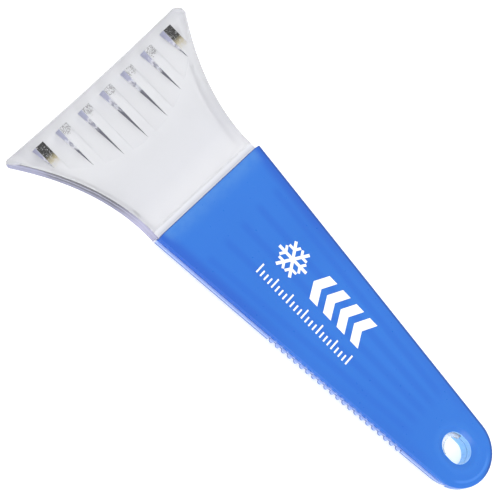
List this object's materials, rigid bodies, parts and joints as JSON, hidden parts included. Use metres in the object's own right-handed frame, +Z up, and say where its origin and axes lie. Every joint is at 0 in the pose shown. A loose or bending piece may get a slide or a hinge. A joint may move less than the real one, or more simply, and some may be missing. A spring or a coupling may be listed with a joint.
{
  "type": "windshield ice scraper",
  "caption": "Hand ice scraper: clear fan-shaped blade with a ramped edge and upright teeth, and a tapered two-shell handle with a row of grip bumps along its left edge and a hang hole.",
  "frame": {"origin": "centre of the bounding box's underside, on the surface that the scraper lies on", "axes": "+Y along the handle towards the scraping edge, +Z up out of the printed face, +X across the blade"},
  "size_m": [0.0966, 0.2102, 0.0086],
  "materials": {
    "clear_plastic": "clear, polished",
    "blue_plastic": "translucent, satin gloss",
    "white_ink": "flat printed ink"
  },
  "bodies": {
    "root": {"blade": "clear_plastic", "top_shell": "blue_plastic", "bottom_shell": "blue_plastic"}
  },
  "joints": []
}
